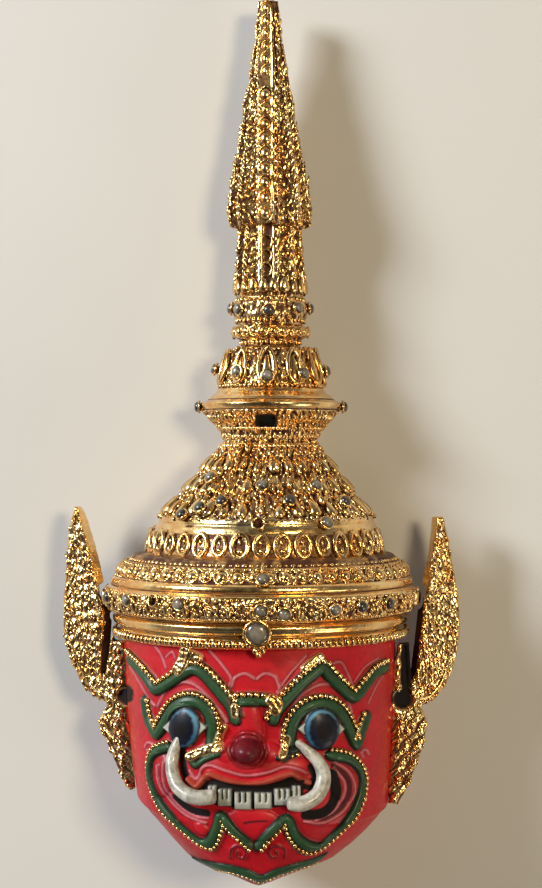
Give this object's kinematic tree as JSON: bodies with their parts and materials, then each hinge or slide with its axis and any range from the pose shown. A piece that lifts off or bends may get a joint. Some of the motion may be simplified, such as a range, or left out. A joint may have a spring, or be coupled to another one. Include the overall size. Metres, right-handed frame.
{
  "type": "yaksha mask",
  "caption": "Small painted and gilded demon mask under a tall tiered crown with a spire, hollow behind the face and flat at the back, with ear flares, tusks and set stones.",
  "frame": {"origin": "under the middle of the mask, on the plane of its flat back", "axes": "+X to the viewer's right, +Y from the chin to the tip of the spire, +Z out of the face"},
  "size_m": [0.0683, 0.15, 0.0361],
  "materials": {
    "painted_gilt": "satin",
    "gilt": "satin",
    "ivory_paint": "satin",
    "glass_stone": "gloss"
  },
  "bodies": {
    "root": {"mask_shell": "painted_gilt", "ear_ornament_left": "gilt", "ear_ornament_right": "gilt", "tusk_left": "ivory_paint", "tusk_right": "ivory_paint", "stone_rim": "glass_stone", "stone_band_1": "glass_stone", "stone_band_2": "glass_stone", "stone_band_3": "glass_stone", "stone_band_4": "glass_stone", "stone_band_5": "glass_stone", "stone_band_6": "glass_stone", "stone_band_7": "glass_stone", "stone_band_8": "glass_stone", "stone_upper_band_1": "glass_stone", "stone_cone_1": "glass_stone", "stone_cone_2": "glass_stone", "stone_cone_3": "glass_stone", "stone_cone_4": "glass_stone", "stone_cone_5": "glass_stone", "stone_cone_6": "glass_stone", "stone_cone_7": "glass_stone", "stone_cone_8": "glass_stone", "stone_cone_9": "glass_stone", "stone_ring_1": "glass_stone", "stone_ring_2": "glass_stone", "stone_drum_1": "glass_stone", "stone_drum_2": "glass_stone", "stone_drum_3": "glass_stone", "stone_drum_4": "glass_stone", "stone_drum_5": "glass_stone", "stone_collar_1": "glass_stone", "stone_collar_2": "glass_stone", "stone_collar_3": "glass_stone", "stone_collar_4": "glass_stone", "stone_collar_5": "glass_stone"}
  },
  "joints": []
}
